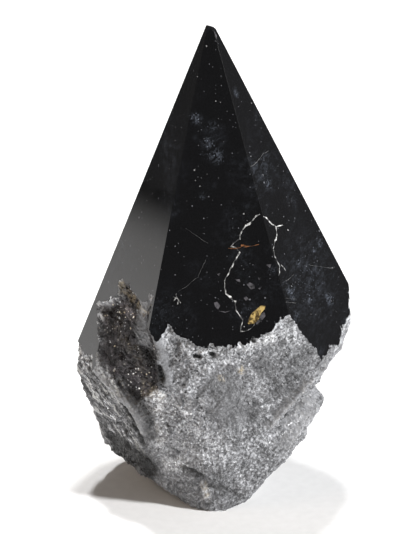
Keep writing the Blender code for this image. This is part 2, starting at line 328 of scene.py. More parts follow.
# Milky veils just under the polish: a place on the stone, how far it reaches and how dense it is
VEILS = (
    ((-2.2, -5.1, 65.6), 0.9, 1.0),
    ((0.3, -5.4, 64.7), 0.7, 0.7),
    ((-0.2, -6.4, 61.9), 1.0, 0.9),
    ((1.1, -7.1, 60.1), 1.2, 0.9),
    ((-1.0, -7.0, 60.1), 0.6, 0.6),
    ((-1.1, -9.1, 54.2), 0.6, 0.5),
    ((4.0, -2.4, 68.9), 0.8, 0.5),
    ((9.1, -5.2, 54.5), 1.0, 0.6),
    ((9.1, -13.0, 46.6), 0.9, 0.5),
    ((9.8, -13.2, 43.2), 0.8, 0.5),
    ((17.2, 0.2, 41.7), 1.0, 0.8),
    ((16.3, -1.8, 41.4), 0.9, 0.6),
    ((13.8, -7.3, 41.8), 1.0, 0.7),
    ((12.7, -12.6, 39.0), 1.3, 0.9),
    ((15.5, -8.9, 36.2), 1.2, 0.8),
    ((18.8, -3.9, 33.9), 1.4, 0.8),
    ((13.6, -13.9, 35.5), 1.0, 0.8),
    ((15.5, -6.5, 38.0), 8.0, 0.22),
    ((5.5, -14.0, 36.5), 2.5, 0.25),
    ((-8.0, -13.0, 36.0), 5.0, 0.15),
)

# The stretches of the break that differ from the rest, each with its reach, tone, calm, ochre and rise; in
# some the tone is painted light or shade, as noted at each
ZONES = (
    Zone("smooth middle", 3.0, -0.36, 0.7, 0.0, 0.0, ((1.9, -16.0, 24.4), (4.1, -15.3, 19.3))),
    Zone("smooth upper right", 1.6, -0.35, 0.4, 0.0, 0.0, ((9.0, -15.7, 29.0), (8.6, -15.2, 26.6))),
    Zone("grey beside the peak", 1.9, -0.5, 0.2, 0.0, 0.0, (
        (15.5, -13.9, 29.2), (13.9, -14.3, 26.9), (12.7, -14.1, 23.6),
    )),
    Zone("grey at the right corner", 1.3, -0.5, 0.2, 0.0, 0.0, ((17.8, -12.0, 26.1), (19.3, -9.6, 26.7))),
    # painted shade: darker tone where shade falls in this recess
    Zone("dark chip", 0.7, -0.5, 0.0, 0.0, -0.2, ((7.5, -14.4, 20.0), (6.7, -14.2, 17.3))),
    Zone("pale left edge", 1.4, 0.15, 0.0, 0.0, 0.0, ((-7.1, -16.2, 31.6), (-5.9, -15.8, 24.3))),
    Zone("pale slope", 1.2, 0.5, 0.0, 0.0, 0.15, (
        (1.9, -16.7, 29.0), (-0.6, -16.7, 27.4), (-3.6, -16.1, 23.9),
    )),
    Zone("crumbs at the right", 0.9, 0.3, 0.0, 0.1, 0.0, ((5.2, -17.1, 31.8), (9.8, -16.0, 32.6))),
    Zone("crumbs at the left", 0.8, 0.35, 0.0, 0.0, 0.0, ((-3.2, -17.0, 30.7), (0.6, -17.1, 30.6))),
    Zone("pale peak", 1.4, 0.15, 0.0, 0.0, 0.0, ((11.8, -15.5, 34.5), (12.6, -15.0, 31.9))),
    Zone("pale right middle", 1.5, 0.22, 0.0, 0.0, 0.0, (
        (5.9, -15.5, 26.1), (7.3, -15.0, 23.3), (8.3, -14.2, 20.1),
    )),
    # painted light: paler where light bounced up from the floor falls on the low front
    Zone("pale low stretch", 3.0, 0.6, 0.0, 0.0, 0.0, (
        (-6.0, -14.0, 20.0), (-2.2, -14.2, 13.3), (1.3, -14.7, 12.5),
    )),
    Zone("pale streak", 1.2, 0.2, 0.0, 0.0, 0.2, ((-1.0, -15.3, 17.1), (0.6, -14.7, 13.6))),
    # painted light: paler where light bounced up from the floor falls on the low front
    Zone("pale foot", 1.6, 0.38, 0.0, 0.0, 0.0, (
        (-8.0, -11.0, 10.6), (-7.4, -10.3, 6.6), (-1.0, -14.1, 9.3),
    )),
    # painted light: paler where light bounced up from the floor falls on the low front
    Zone("pale foot at the right", 1.6, 0.35, 0.0, 0.0, 0.0, ((4.5, -13.3, 8.2), (5.8, -12.4, 4.5))),
    Zone("pale right slope", 1.3, 0.2, 0.0, 0.0, 0.0, ((6.7, -13.8, 12.4), (9.0, -12.6, 12.9))),
    # painted shade: darker tone where shade falls in this recess
    Zone("cleft", 0.6, -1.0, 0.0, 0.0, -0.5, ((-3.9, -12.1, 7.4), (-1.3, -13.0, 6.4))),
    Zone("dark foot", 1.3, -0.3, 0.0, 0.0, 0.0, ((0.3, -13.3, 5.6), (2.6, -12.5, 3.4))),
    Zone("chalky grain", 0.45, 1.2, 0.5, 0.6, 0.3, ((-1.0, -12.6, 4.9), (-0.5, -12.9, 2.7))),
    Zone("yellow spot", 0.4, 0.3, 0.0, 0.9, 0.0, ((4.7, -16.1, 27.5), (4.9, -15.8, 26.4))),
    Zone("second yellow spot", 0.4, 0.2, 0.0, 0.7, 0.0, ((1.6, -16.2, 25.9), (1.9, -16.1, 25.3))),
    Zone("slab edge", 0.6, 0.25, 1.0, 0.1, 0.7, (
        (17.8, -11.4, 25.2), (15.4, -13.0, 23.5), (13.5, -13.4, 21.3), (11.6, -13.1, 18.9),
        (9.6, -13.3, 16.1),
    )),
    # painted shade: darker tone where shade falls in this recess
    Zone("groove under the slab", 0.5, -1.2, 0.0, 0.0, -1.1, (
        (16.2, -9.2, 20.3), (14.5, -6.1, 16.6), (12.6, -11.6, 17.2), (10.7, -11.0, 14.4),
    )),
    Zone("crest of the lump", 0.5, 0.3, 0.8, 0.0, 0.5, (
        (17.2, -1.8, 15.9), (15.3, -6.2, 15.8), (13.0, -9.5, 14.7), (11.2, -11.4, 13.5),
    )),
    Zone("right lump", 2.0, -0.08, 0.8, 0.05, 0.0, ((15.8, -5.0, 15.9), (12.8, -11.4, 13.0))),
    # painted shade: darker tone where shade falls in this recess
    Zone("left pit", 0.4, -1.0, 0.0, 0.0, -0.6, ((-2.4, -17.0, 30.0), (-1.7, -17.1, 29.9))),
    # painted shade: darker tone where shade falls in this recess
    Zone("middle pit", 0.4, -1.0, 0.0, 0.0, -0.6, ((0.0, -17.2, 30.4), (0.5, -17.1, 30.2))),
    # painted shade: darker tone where shade falls in this recess
    Zone("notch", 0.3, -1.0, 0.0, 0.0, -0.5, ((6.8, -16.8, 33.1), (6.9, -16.8, 32.5))),
    # painted shade: darker tone where shade falls in this recess
    Zone("low pit", 0.35, -1.0, 0.0, 0.0, -0.5, ((-7.0, -12.8, 15.7), (-6.7, -12.9, 15.4))),
    Zone("pale dashes", 0.3, 0.9, 0.0, 0.0, 0.0, ((-4.3, -14.6, 18.7), (-1.6, -15.4, 19.0))),
    Zone("pale dash", 0.35, 1.0, 0.0, 0.0, 0.0, ((-1.6, -15.8, 21.6), (-1.1, -15.9, 21.2))),
    # painted sparkle: a paler tone and more pale grains with painted glints
    Zone("sparkles at the left", 1.1, 0.6, 0.0, 0.1, 0.0, ((-8.4, -12.9, 19.8), (-8.0, -11.7, 12.4))),
    Zone("yellow foot of the hollow", 1.0, 1.1, 0.0, 0.45, 0.0, (
        (-10.1, -11.3, 21.4), (-8.4, -13.1, 21.4),
    )),
    # painted sparkle: a paler tone and more pale grains with painted glints
    Zone("sparkles below", 0.8, 0.5, 0.0, 0.15, 0.0, ((-6.8, -10.8, 7.8), (-4.5, -11.8, 8.2))),
    Zone("border at the far left", 1.3, 0.6, 0.0, 0.0, -0.9, ((-21.3, -1.2, 23.0), (-19.3, -4.9, 23.4))),
    # painted shade: darker tone where shade falls in this recess
    Zone("slit", 0.6, -1.3, 0.5, 0.0, -0.9, (
        (-8.2, -16.1, 27.5), (-7.8, -16.0, 25.7), (-7.6, -15.0, 23.6),
    )),
    # painted shade: darker tone where shade falls on the hollow's recessed wall
    Zone("black wall", 0.9, -0.9, 0.0, 0.0, -0.3, ((-10.6, -11.6, 28.2), (-9.1, -12.4, 26.5))),
    Zone("smooth shell", 1.2, -0.3, 1.0, 0.0, 0.0, (
        (-10.1, -12.5, 37.6), (-10.9, -10.8, 34.7), (-10.9, -11.6, 33.4), (-10.6, -12.1, 31.8),
        (-10.0, -12.2, 30.3),
    )),
    Zone("rim of the hollow", 0.7, -0.35, 1.0, 0.0, 0.2, (
        (-9.0, -15.8, 34.9), (-8.0, -16.5, 31.9), (-7.1, -16.1, 28.5), (-6.7, -16.0, 24.6),
    )),
    Zone("brown spike", 0.6, 0.3, 0.0, 0.8, 0.0, ((-14.2, -4.4, 37.0), (-13.7, -4.8, 35.6))),
    Zone("golden streak", 0.7, 0.6, 0.0, 0.7, 0.0, (
        (-12.9, -4.9, 35.4), (-11.6, -8.6, 35.6), (-10.3, -12.0, 35.3),
    )),
    Zone("peak of the shell", 0.4, 0.6, 0.5, 0.0, 0.0, ((-9.6, -12.6, 38.8), (-9.3, -13.8, 38.1))),
    Zone("pale ring", 0.5, 1.5, 0.0, 0.05, 0.0, ((-17.3, -2.6, 29.9), (-16.4, -3.5, 29.8))),
    # painted highlights: paler where light falls on the top of the hollow
    Zone("pale grains at the top", 1.0, 3.0, 0.0, 0.1, 0.0, ((-13.6, -5.7, 33.0), (-12.4, -9.0, 33.2))),
    Zone("grey top of the hollow", 0.9, 1.4, 0.5, 0.0, 0.0, ((-17.2, -1.8, 31.9), (-15.7, -4.0, 34.2))),
    Zone("yellow grains", 0.9, 0.2, 0.0, 0.12, 0.0, (
        (-14.7, -6.0, 29.9), (-12.1, -10.9, 28.1), (-11.1, -11.3, 25.4),
    )),
    Zone("floor of the hollow", 1.5, 1.0, 0.0, 0.0, 0.0, (
        (-15.0, -9.2, 23.5), (-13.3, -9.9, 22.8), (-10.9, -10.8, 21.6),
    )),
    Zone("pale top of the flank", 1.1, 0.45, 0.0, 0.0, 0.0, (
        (-20.8, -2.6, 21.5), (-19.4, -2.5, 17.7), (-18.1, -3.3, 16.1),
    )),
    Zone("ridge of the flank", 0.8, 0.35, 1.0, 0.06, 0.5, (
        (-18.9, -5.6, 23.4), (-17.0, -7.3, 21.0), (-15.2, -9.2, 19.9), (-13.4, -10.5, 19.0),
        (-11.5, -10.8, 16.1), (-10.7, -10.6, 13.5),
    )),
    # painted shade: darker tone where shade falls in this recess
    Zone("dark ground beside the ridge", 0.9, -0.65, 0.0, 0.0, -0.4, (
        (-14.4, -9.6, 22.1), (-11.7, -10.6, 19.8), (-9.9, -11.9, 16.5), (-9.3, -11.0, 12.8),
    )),
    Zone("first flank streak", 0.4, 1.6, 0.0, 0.0, 0.1, ((-17.0, -4.3, 15.5), (-16.3, -3.9, 13.9))),
    Zone("second flank streak", 0.4, 1.6, 0.0, 0.0, 0.1, ((-15.9, -3.8, 12.7), (-14.7, -4.7, 12.3))),
    Zone("third flank streak", 0.35, 1.4, 0.0, 0.0, 0.1, ((-17.7, -1.3, 12.0), (-16.9, -1.7, 10.9))),
    Zone("fourth flank streak", 0.35, 1.4, 0.0, 0.0, 0.1, ((-16.3, -1.6, 9.6), (-15.6, -1.9, 8.8))),
    Zone("fifth flank streak", 0.4, 1.5, 0.0, 0.0, 0.1, ((-14.1, -4.2, 9.8), (-12.9, -7.1, 10.1))),
    # painted shade: darker tone where shade falls in this recess
    Zone("first flank crack", 0.35, -1.0, 0.0, 0.0, -0.4, ((-13.8, -10.0, 17.3), (-13.3, -9.9, 16.0))),
    # painted shade: darker tone where shade falls in this recess
    Zone("second flank crack", 0.4, -1.0, 0.0, 0.0, -0.4, ((-13.0, -10.3, 16.7), (-12.2, -10.3, 14.8))),
    # painted shade: darker tone where shade falls in this recess
    Zone("third flank crack", 0.4, -1.0, 0.0, 0.0, -0.4, ((-14.9, -4.2, 11.7), (-13.5, -7.0, 11.5))),
    # painted shade: darker tone where shade falls in this recess
    Zone("crevice", 0.5, -1.1, 0.0, 0.0, -0.5, ((-11.7, -10.3, 13.8), (-10.9, -9.6, 10.6))),
    Zone("dark lower flank", 1.2, -0.5, 0.0, 0.0, 0.0, ((-16.3, -0.6, 7.5), (-13.3, -4.6, 8.4))),
    Zone("grey spot below", 0.9, -0.3, 0.0, 0.0, 0.0, ((4.1, -15.1, 15.2), (4.8, -13.7, 10.2))),
    Zone("swell of the foot", 2.5, 0.0, 0.0, 0.0, 0.8, (
        (-14.7, -1.1, 4.8), (-12.7, -2.9, 4.4), (-11.0, -6.2, 5.2),
    )),
    # painted shade: the foot of the left flank faces the shadowed floor and is darkened for it
    Zone("dark foot of the flank", 2.0, -1.4, 0.0, 0.0, 0.0, (
        (-15.0, -1.3, 5.8), (-13.0, -3.7, 6.1), (-11.3, -7.0, 7.1), (-9.7, -8.5, 6.1),
    )),
)

# The hollow in the left ground face, drawn across that face and down it
HOLLOW_OUTLINE = (
    (-7.1, 50.8), (-4.9, 49.8), (-2.9, 48.5), (-1.9, 47.0), (-2.5, 45.5), (-1.9, 44.5), (-0.3, 44.8),
    (1.8, 44.9), (3.4, 45.2), (5.0, 45.0), (6.6, 44.3), (7.1, 43.3), (8.2, 43.5), (8.9, 44.6), (9.6, 46.0),
    (10.7, 47.8), (11.8, 50.0), (12.8, 53.0), (13.9, 57.9), (13.3, 63.0), (10.3, 66.0),
    (6.3, 69.5), (1.7, 61.8), (-2.8, 58.7), (-3.0, 56.7), (-4.7, 54.8),
)

SLOTS = ("break", "polish", "edge", "sawn", "vein", "crack", "gold", "fleck", "speck", "glow")


def frame_geometry():
    """The frame's corners in millimetres and its faces as corner numbers."""
    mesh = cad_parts[CAD_NODE].data
    corners = [vertex.co * MM_PER_METRE for vertex in mesh.vertices]
    return corners, [tuple(face.vertices) for face in mesh.polygons]


def triangle_plane(corners, triangle):
    """A triangle's plane and its area."""
    a, b, c = (corners[number] for number in triangle)
    cross = (b - a).cross(c - a)
    area = cross.length / 2.0
    normal = cross.normalized()
    return Plane(normal, normal.dot(a)), area


def same_plane(first, second):
    """Whether two planes are one flat face."""
    alike = first.normal.dot(second.normal) > SAME_DIRECTION
    return alike and abs(first.offset - second.offset) < SAME_OFFSET


def flat_faces(corners, triangles):
    """The planes that the frame's stone was ground, sawn and chipped to: sides, foot and tip."""
    found = [triangle_plane(corners, triangle) for triangle in triangles]
    found.sort(key=lambda item: -item[1])
    planes = []
    areas = []
    for plane, area in found:
        match = next((n for n, known in enumerate(planes) if same_plane(plane, known)), None)
        if match is not None:
            areas[match] += area
        elif area > FLAT_TRIANGLE:
            planes.append(plane)
            areas.append(area)
    kept = [plane for plane, area in zip(planes, areas) if area > FLAT_FACE]
    foot = [plane for plane in kept if plane.normal.z < FOOT_FACES_DOWN]
    sides = [plane for plane in kept if plane.normal.z > 0.0]
    if len(foot) != 1 or len(sides) != GROUND_SIDES:
        raise RuntimeError(f"expected one foot and six ground sides, found {len(foot)} and {len(sides)}")
    sides.sort(key=lambda plane: azimuth_of(plane.normal))
    return sides, foot[0], tip_plane(corners, found)


def tip_plane(corners, found):
    """The plane of the chipped tip: the largest face near the top that looks upwards."""
    top = Vector((0.0, 0.0, max(corner.z for corner in corners)))
    for plane, _ in found:
        near_top = abs(plane.offset - plane.normal.dot(top)) < TIP_DEPTH
        if plane.normal.z > TIP_FACES_UP and near_top:
            return plane
    raise RuntimeError("the frame's chipped tip was not found")


def azimuth_of(normal):
    """The compass direction of a normal in degrees, from the front towards the right."""
    return math.degrees(math.atan2(normal.x, -normal.y))


def side_at(sides, azimuth):
    """The number of the ground side that looks nearest to an azimuth."""
    turns = [abs((azimuth_of(plane.normal) - azimuth + 180.0) % 360.0 - 180.0) for plane in sides]
    return turns.index(min(turns))


class FaceGrid:
    """Positions on a ground side: across it, and down it from the stone's top."""

    def __init__(self, plane):
        self.normal = plane.normal
        top = Vector((0.0, 0.0, POINT_HEIGHT))
        self.origin = top - plane.normal * (plane.normal.dot(top) - plane.offset)
        self.across = Vector((-plane.normal.y, plane.normal.x, 0.0)).normalized()
        down = plane.normal.cross(self.across)
        self.down = -down if down.z > 0.0 else down

    def flat(self, point):
        """Where a point of the stone lies on the side."""
        away = point - self.origin
        return Vector((away.dot(self.across), away.dot(self.down)))

    def solid(self, spot):
        """Where a spot of the side lies in the stone."""
        return self.origin + self.across * spot[0] + self.down * spot[1]


def inside_outline(spot, outline):
    """Whether a spot on a flat lies inside an outline."""
    inside = False
    x, y = spot[0], spot[1]
    for index, (x0, y0) in enumerate(outline):
        x1, y1 = outline[(index + 1) % len(outline)]
        if (y0 > y) != (y1 > y) and x < x0 + (y - y0) * (x1 - x0) / (y1 - y0):
            inside = not inside
    return inside


def outline_distance(spot, outline):
    """The distance from a spot to the nearest stretch of an outline."""
    here = Vector((spot[0], spot[1]))
    nearest = FAR_OUT
    for index, start in enumerate(outline):
        start, end = Vector(start), Vector(outline[(index + 1) % len(outline)])
        along = end - start
        share = max(0.0, min(1.0, (here - start).dot(along) / max(along.length_squared, NO_LENGTH)))
        nearest = min(nearest, (here - start - along * share).length)
    return nearest


def hackle(point, size, tilt):
    """Small flat facets, each tilted its own way, as where tourmaline breaks."""
    _, centres = noise.voronoi(point / size)
    lean = noise.cell_vector(centres[0] * CELL_SCATTER) - Vector((0.5, 0.5, 0.5))
    return (point - centres[0] * size).dot(lean) * tilt


def break_grain(point, sizes, calm):
    """How far the broken surface stands in or out at a point."""
    facets = hackle(point, sizes.facet_size, sizes.facet_tilt)
    small = hackle(point + SMALL_GRAIN_SHIFT, sizes.grain_size, sizes.grain_tilt)
    crumbs = noise.noise(point / sizes.crumb_size) * sizes.crumb_height
    pit = max(0.0, noise.noise(point / sizes.pit_size) - PIT_LEVEL) * sizes.pit_depth
    return (facets + small + crumbs - pit) * (1.0 - calm * CALM_SHARE)


def path_distance(point, path):
    """The distance from a point to the nearest stretch of a path."""
    nearest = FAR_OUT
    for start, end in zip(path, path[1:]):
        along = end - start
        share = max(0.0, min(1.0, (point - start).dot(along) / along.length_squared))
        nearest = min(nearest, (point - start - along * share).length)
    return nearest


class ZoneMap:
    """Tells which zones of the break a point lies in."""

    def __init__(self, zones):
        self.zones = []
        for zone in zones:
            path = [Vector(corner) for corner in zone.path]
            middle = sum(path, Vector()) / len(path)
            half = max((corner - middle).length for corner in path)
            self.zones.append((zone, path, middle, half + zone.reach * ZONE_FADE * ZONE_MARGIN))

    def at(self, point):
        """The tone, the calm, the ochre stain and the rise at a point."""
        tone = calm = ochre = rise = 0.0
        uneven = 1.0 + ZONE_UNEVEN * noise.noise(point / ZONE_UNEVEN_SIZE)
        for zone, path, middle, far in self.zones:
            if (point - middle).length > far:
                continue
            away = path_distance(point, path) * uneven / zone.reach
            share = max(0.0, min(1.0, (ZONE_FADE - away) / ZONE_FADE * ZONE_STEEPNESS))
            tone += zone.tone * share
            calm = max(calm, zone.calm * share)
            ochre = max(ochre, zone.ochre * share)
            rise += zone.rise * share * share
        return tone, calm, ochre, rise


class Lump:
    """The rough stone before grinding, seen from its heart."""

    def __init__(self, corners, triangles, planes, sizes):
        self.tree = BVHTree.FromPolygons(corners, triangles)
        self.planes = planes
        self.sizes = sizes
        self.zones = ZoneMap(ZONES)
        rough = [
            corners[number]
            for triangle in triangles
            if not self.is_flat(sum((corners[n] for n in triangle), Vector()) / 3.0)
            for number in triangle
        ]
        self.rough = KDTree(len(rough))
        for number, corner in enumerate(rough):
            self.rough.insert(corner, number)
        self.rough.balance()

    def is_flat(self, point):
        """Whether a point lies on a ground, sawn or chipped face."""
        return any(abs(plane.normal.dot(point) - plane.offset) < ON_PLANE for plane in self.planes)

    def hit(self, direction):
        """The frame's surface in one direction, and how far it lies past the border of the break."""
        point, _, _, _ = self.tree.ray_cast(HEART, direction)
        if point is None:
            raise RuntimeError("the frame is open: a line from its heart met no surface")
        if not self.is_flat(point):
            return point, 0.0
        return point, self.rough.find(point)[2]

    def surface(self, direction):
        """The stone's surface before grinding, with its tone, calm and ochre stain.

        Over a ground face the surface rises out of the frame.
        """
        point, past = self.hit(direction)
        lift = min(past * self.sizes.lift_slope, self.sizes.lift_limit)
        tone, calm, ochre, rise = self.zones.at(point)
        grain = break_grain(point, self.sizes, calm) - self.sizes.sink
        return point + direction * (lift + grain + rise), (tone, calm, ochre)


def lump_net(lump, detail, fine):
    """A closed net of directions, finer where the break can be seen."""
    net = bmesh.new()
    bmesh.ops.create_icosphere(net, subdivisions=detail, radius=1.0)
    if fine:
        wanted = set()
        for vertex in net.verts:
            point, past = lump.hit(vertex.co.normalized())
            if past < FINE_REACH and point.y < FINE_FRONT:
                wanted.add(vertex)
        edges = [edge for edge in net.edges if all(vertex in wanted for vertex in edge.verts)]
        bmesh.ops.subdivide_edges(net, edges=edges, cuts=1, use_grid_fill=True)
        bmesh.ops.triangulate(net, faces=net.faces)
    layers = [net.verts.layers.float.new(name) for name in ("tone", "calm", "ochre")]
    for vertex in net.verts:
        vertex.co, values = lump.surface(vertex.co.normalized())
        for layer, value in zip(layers, values):
            vertex[layer] = value
    return net


def grind(shape, plane, layer, mark, slot, narrow=False):
    """Cuts the stone flat along a plane and closes the cut.

    A narrow cut has a single rim and is too thin for triangle_fill.
    """
    cut = bmesh.ops.bisect_plane(
        shape,
        geom=[*shape.verts, *shape.edges, *shape.faces],
        dist=SAME_POINT,
        plane_co=plane.normal * plane.offset,
        plane_no=plane.normal,
        clear_outer=True,
    )
    rim = [item for item in cut["geom_cut"] if isinstance(item, bmesh.types.BMEdge) and item.is_boundary]
    if narrow:
        strip = bmesh.ops.edgeloop_fill(shape, edges=rim)["faces"]
        made = bmesh.ops.triangulate(shape, faces=strip, ngon_method="EAR_CLIP")["faces"]
    else:
        made = bmesh.ops.triangle_fill(shape, edges=rim, use_beauty=True, normal=plane.normal)["geom"]
    for item in made:
        if isinstance(item, bmesh.types.BMFace):
            item[layer] = mark
            item.material_index = SLOTS.index(slot)
            item.smooth = False


def worn_ridge(first, second, wear):
    """The narrow plane that wear leaves along the edge between two ground sides."""
    total = first.normal + second.normal
    normal = total.normalized()
    offset = (first.offset + second.offset) / total.length
    return Plane(normal, offset - wear)


def ribbon(line, chance):
    """A wandering line of uneven width, as a chain of four-cornered pieces."""
    centres = []
    for start, end in zip(line.points, line.points[1:]):
        start, end = Vector(start), Vector(end)
        steps = max(1, round((end - start).length / RIBBON_STEP))
        centres += [start.lerp(end, step / steps) for step in range(steps)]
    centres.append(Vector(line.points[-1]))
    rails = []
    for index, centre in enumerate(centres):
        before = centres[max(0, index - 1)]
        after = centres[min(len(centres) - 1, index + 1)]
        along = (after - before).xy.normalized()
        side = Vector((-along.y, along.x))
        half = centre.z / 2.0 * VEIN_SHARE * chance.uniform(*RIBBON_SHARES)
        middle = centre.xy + side * chance.uniform(-line.stray, line.stray) * JAGGED
        rails.append((middle - side * half, middle + side * half))
    return [(a[0], a[1], b[1], b[0]) for a, b in zip(rails, rails[1:])]


def speck_outline(speck, chance):
    """A small uneven five-cornered spot."""
    corners = []
    for number in range(SPECK_CORNERS):
        turn = 2.0 * math.pi * number / SPECK_CORNERS
        half = speck.width / 2.0 * chance.uniform(*SPECK_SHARES)
        corners.append((speck.across + half * math.cos(turn), speck.down + half * math.sin(turn)))
    return tuple(corners)


def inlay(shape, layer, mark, grid, outlines):
    """Rebuilds a ground side so that it has the veins and flecks as faces of their own.

    The dictionaries keep edges and corners in one order, so each run gives the same mesh.
    """
    faces = [face for face in shape.faces if face[layer] == mark]
    rim = []
    for edge in dict.fromkeys(edge for face in faces for edge in face.edges):
        if sum(1 for face in edge.link_faces if face[layer] == mark) == 1:
            rim.append(edge)
    corners = list(dict.fromkeys(vertex for edge in rim for vertex in edge.verts))
    number = {vertex: index for index, vertex in enumerate(corners)}
    spots = [grid.flat(vertex.co) for vertex in corners]
    edges = [(number[edge.verts[0]], number[edge.verts[1]]) for edge in rim]
    rim_spots = [(spots[first], spots[second]) for first, second in edges]
    for outline, _ in outlines:
        start = len(spots)
        spots += [Vector(spot) for spot in outline]
        edges += [(start + n, start + (n + 1) % len(outline)) for n in range(len(outline))]

    made, _, triangles, sources, _, _ = delaunay_2d_cdt(spots, edges, [], 0, 1e-4)
    bmesh.ops.delete(shape, geom=faces, context="FACES")
    vertices = []
    for spot, source in zip(made, sources):
        known = next((corners[index] for index in source if index < len(corners)), None)
        vertices.append(known or shape.verts.new(grid.solid(spot)))
    for triangle in triangles:
        middle = sum((made[index] for index in triangle), Vector((0.0, 0.0))) / 3.0
        around = [vertices[index] for index in triangle]
        if not inside_rim(middle, rim_spots) or shape.faces.get(around):
            continue
        face = shape.faces.new(around)
        face[layer] = mark
        slot = next((name for outline, name in outlines if inside_outline(middle, outline)), "polish")
        face.material_index = SLOTS.index(slot)


def inside_rim(spot, rim):
    """Whether a spot lies inside a rim given as loose stretches."""
    inside = False
    for start, end in rim:
        if (start.y > spot.y) != (end.y > spot.y):
            if spot.x < start.x + (spot.y - start.y) * (end.x - start.x) / (end.y - start.y):
                inside = not inside
    return inside


def grind_stone(shape, layer, flats, wear):
    """Cuts every flat face of the stone, and the wear along its ground edges."""
    sides, foot, tip = flats
    for index, plane in enumerate(sides):
        grind(shape, plane, layer, index + 1, "polish")
    grind(shape, foot, layer, FOOT_MARK, "sawn")
    grind(shape, tip, layer, TIP_MARK, "edge")
    for index, plane in enumerate(sides):
        worn = worn_ridge(plane, sides[(index + 1) % len(sides)], wear)
        grind(shape, worn, layer, FIRST_RIDGE_MARK + index, "edge", narrow=True)
    if any(edge.is_boundary for edge in shape.edges):
        raise RuntimeError("a cut through the stone was left open")


def inlays(sides, index, chance):
    """The outlines to inlay in one ground side, each with its material slot."""
    lines = [line for line in LINES if side_at(sides, line.azimuth) == index]
    patches = [patch for patch in PATCHES if side_at(sides, patch.azimuth) == index]
    specks = [speck for speck in SPECKS if side_at(sides, speck.azimuth) == index]
    outlines = [(piece, line.slot) for line in lines for piece in ribbon(line, chance)]
    outlines += [(patch.outline, patch.slot) for patch in patches]
    outlines += [(speck_outline(speck, chance), "speck") for speck in specks]
    return outlines


def stone_shape(sizes, quick):
    """The whole stone in millimetres: ground, sawn, chipped and inlaid."""
    corners, triangles = frame_geometry()
    sides, foot, tip = flat_faces(corners, triangles)
    lump = Lump(corners, triangles, [*sides, foot, tip], sizes)
    shape = lump_net(lump, QUICK_LUMP_DETAIL if quick else LUMP_DETAIL, not quick)
    for face in shape.faces:
        face.smooth = False
    layer = shape.faces.layers.int.new("flat")
    grind_stone(shape, layer, (sides, foot, tip), sizes.edge_wear)

    chance = random.Random(RANDOM_SEED)
    for index, plane in enumerate(sides):
        outlines = inlays(sides, index, chance)
        if outlines:
            inlay(shape, layer, index + 1, FaceGrid(plane), outlines)
    bmesh.ops.remove_doubles(shape, verts=shape.verts, dist=SAME_POINT)
    bmesh.ops.recalc_face_normals(shape, faces=shape.faces)

    mark_hollow(shape, sides[side_at(sides, LEFT_FACE)])
    mark_border(shape, layer)
    return shape


def hollow_share(point, grid, plane):
    """How much a point of the break belongs to the hollow, from 0 to 1."""
    direction = (point - HEART).normalized()
    closing = plane.normal.dot(direction)
    if closing < HOLLOW_FACING:
        return 0.0
    reach = (plane.offset - plane.normal.dot(HEART)) / closing
    spot = grid.flat(HEART + direction * reach)
    away = outline_distance(spot, HOLLOW_OUTLINE)
    if not inside_outline(spot, HOLLOW_OUTLINE):
        away = -away
    return max(0.0, min(1.0, away / HOLLOW_BORDER + HOLLOW_SPREAD))


def mark_hollow(shape, plane):
    """Gives every point of the stone how much it belongs to the hollow in a ground side."""
    grid = FaceGrid(plane)
    share = shape.verts.layers.float.new("hollow")
    for vertex in shape.verts:
        if all(place < limit for place, limit in zip(vertex.co, HOLLOW_LIMITS)):
            vertex[share] = hollow_share(vertex.co, grid, plane)


def mark_border(shape, layer):
    """Gives every point of the break how near it lies to the polish, from 0 to 1."""
    near = shape.verts.layers.float.new("border")
    polished = SLOTS.index("polish")
    rim = [
        vertex
        for vertex in shape.verts
        if len({face[layer] for face in vertex.link_faces}) > 1
        and any(face.material_index == polished for face in vertex.link_faces)
        and any(face[layer] == BREAK_MARK for face in vertex.link_faces)
    ]
    if not rim:
        raise RuntimeError("the polish has no border with the break")
    tree = KDTree(len(rim))
    for number, vertex in enumerate(rim):
        tree.insert(vertex.co, number)
    tree.balance()
    for vertex in shape.verts:
        vertex[near] = max(0.0, 1.0 - tree.find(vertex.co)[2] / BORDER_REACH)


def keep_in_box(shape):
    """Holds every vertex inside the frame's own box."""
    low, high = (corner * MM_PER_METRE for corner in CAD_BOX)
    for vertex in shape.verts:
        vertex.co = Vector(max(a, min(b, c)) for a, b, c in zip(low, high, vertex.co))


